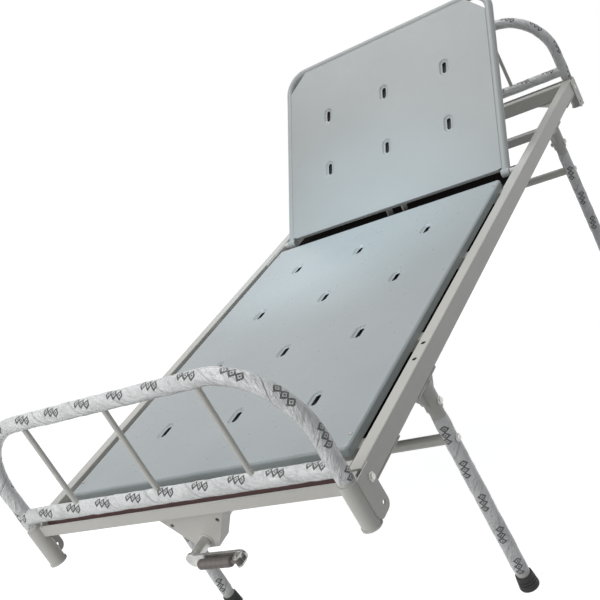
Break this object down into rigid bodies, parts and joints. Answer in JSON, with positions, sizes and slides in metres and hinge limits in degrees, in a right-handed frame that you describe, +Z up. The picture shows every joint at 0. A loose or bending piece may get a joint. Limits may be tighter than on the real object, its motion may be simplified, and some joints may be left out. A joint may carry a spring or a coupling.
{
  "type": "hospital bed",
  "caption": "Tube-framed hospital bed on fixed legs with bow ends, a slotted pressed steel deck and a backrest raised by a folding-grip crank, lead screw and lever.",
  "frame": {"origin": "on the floor, in the middle of the bed's overall width and length, the crank included", "axes": "+X to the right for someone standing at the foot and looking to the head, +Y from foot to head, +Z up"},
  "size_m": [0.919, 2.1424, 1.0402],
  "materials": {
    "cream_paint": "semi-gloss",
    "deck_paint": "semi-gloss",
    "backrest_paint": "semi-gloss",
    "packing_film": "satin",
    "black_rubber": "matte",
    "pale_plastic": "satin",
    "zinc_plate": "satin",
    "bare_steel": "satin",
    "grip_plastic": "satin"
  },
  "bodies": {
    "bed_frame": {"side_rail_left": "cream_paint", "side_rail_right": "cream_paint", "end_rail_foot": "cream_paint", "end_rail_head": "cream_paint", "cross_members": "cream_paint", "corner_gussets": "cream_paint", "corner_plates_foot": "cream_paint", "corner_plates_head": "cream_paint", "corner_socket_foot_left": "cream_paint", "corner_socket_foot_right": "cream_paint", "corner_socket_head_left": "cream_paint", "corner_socket_head_right": "cream_paint", "socket_caps": "pale_plastic", "corner_bolts": "zinc_plate", "foot_tie_bar": "cream_paint", "head_tie_bar": "cream_paint", "foot_bow_hoop": "cream_paint", "foot_bow_rail": "cream_paint", "foot_bow_bars": "cream_paint", "head_bow_hoop": "cream_paint", "head_bow_rail": "cream_paint", "head_bow_bars": "cream_paint", "foot_hoop_film": "packing_film", "foot_rail_film": "packing_film", "head_hoop_film": "packing_film", "head_rail_film": "packing_film", "leg_foot_left": "cream_paint", "leg_foot_right": "cream_paint", "leg_head_left": "cream_paint", "leg_head_right": "cream_paint", "leg_bracket_foot_left": "cream_paint", "leg_bracket_foot_right": "cream_paint", "leg_bracket_head_left": "cream_paint", "leg_bracket_head_right": "cream_paint", "ferrule_foot_left": "black_rubber", "ferrule_foot_right": "black_rubber", "ferrule_head_left": "black_rubber", "ferrule_head_right": "black_rubber", "leg_films": "packing_film", "stretcher_foot": "cream_paint", "stretcher_head": "cream_paint", "leg_bolts": "zinc_plate", "deck_panel": "deck_paint", "deck_stiffeners": "deck_paint", "hinge_bracket_left": "cream_paint", "hinge_bracket_right": "cream_paint", "hinge_pins": "zinc_plate", "crank_hanger": "cream_paint", "screw_hanger": "cream_paint"},
    "backrest": {"backrest_frame": "backrest_paint", "backrest_panel": "backrest_paint", "backrest_ribs": "backrest_paint", "lift_lever": "bare_steel"},
    "lift_nut": {"lift_nut": "zinc_plate"},
    "crank": {"crank_shaft": "zinc_plate", "lead_screw": "bare_steel", "crank_arm": "zinc_plate"},
    "crank_grip": {"crank_grip": "grip_plastic"}
  },
  "joints": [
    {"name": "backrest_lift", "type": "hinge", "parent": "bed_frame", "child": "backrest", "pos_m": [0, 0.32925, 0.6005], "axis": [1, 0, 0], "range_deg": [-42, 28]},
    {"name": "nut_travel", "type": "slide", "parent": "bed_frame", "child": "lift_nut", "axis": [0, 1, 0], "range_m": [-0.08854, 0.0592]},
    {"name": "crank_turn", "type": "hinge", "parent": "bed_frame", "child": "crank", "pos_m": [0, -0.98975, 0.492], "axis": [0, 1, 0], "range_deg": [-3175, 2119]},
    {"name": "grip_fold", "type": "hinge", "parent": "crank", "child": "crank_grip", "pos_m": [0.13, -1.06025, 0.492], "axis": [0, 0, 1], "range_deg": [0, 90]}
  ],
  "couplings": [
    {"joint": "nut_travel", "follows": "backrest_lift", "m_per_rad": 0.12011},
    {"joint": "crank_turn", "follows": "backrest_lift", "ratio": 75.467}
  ]
}
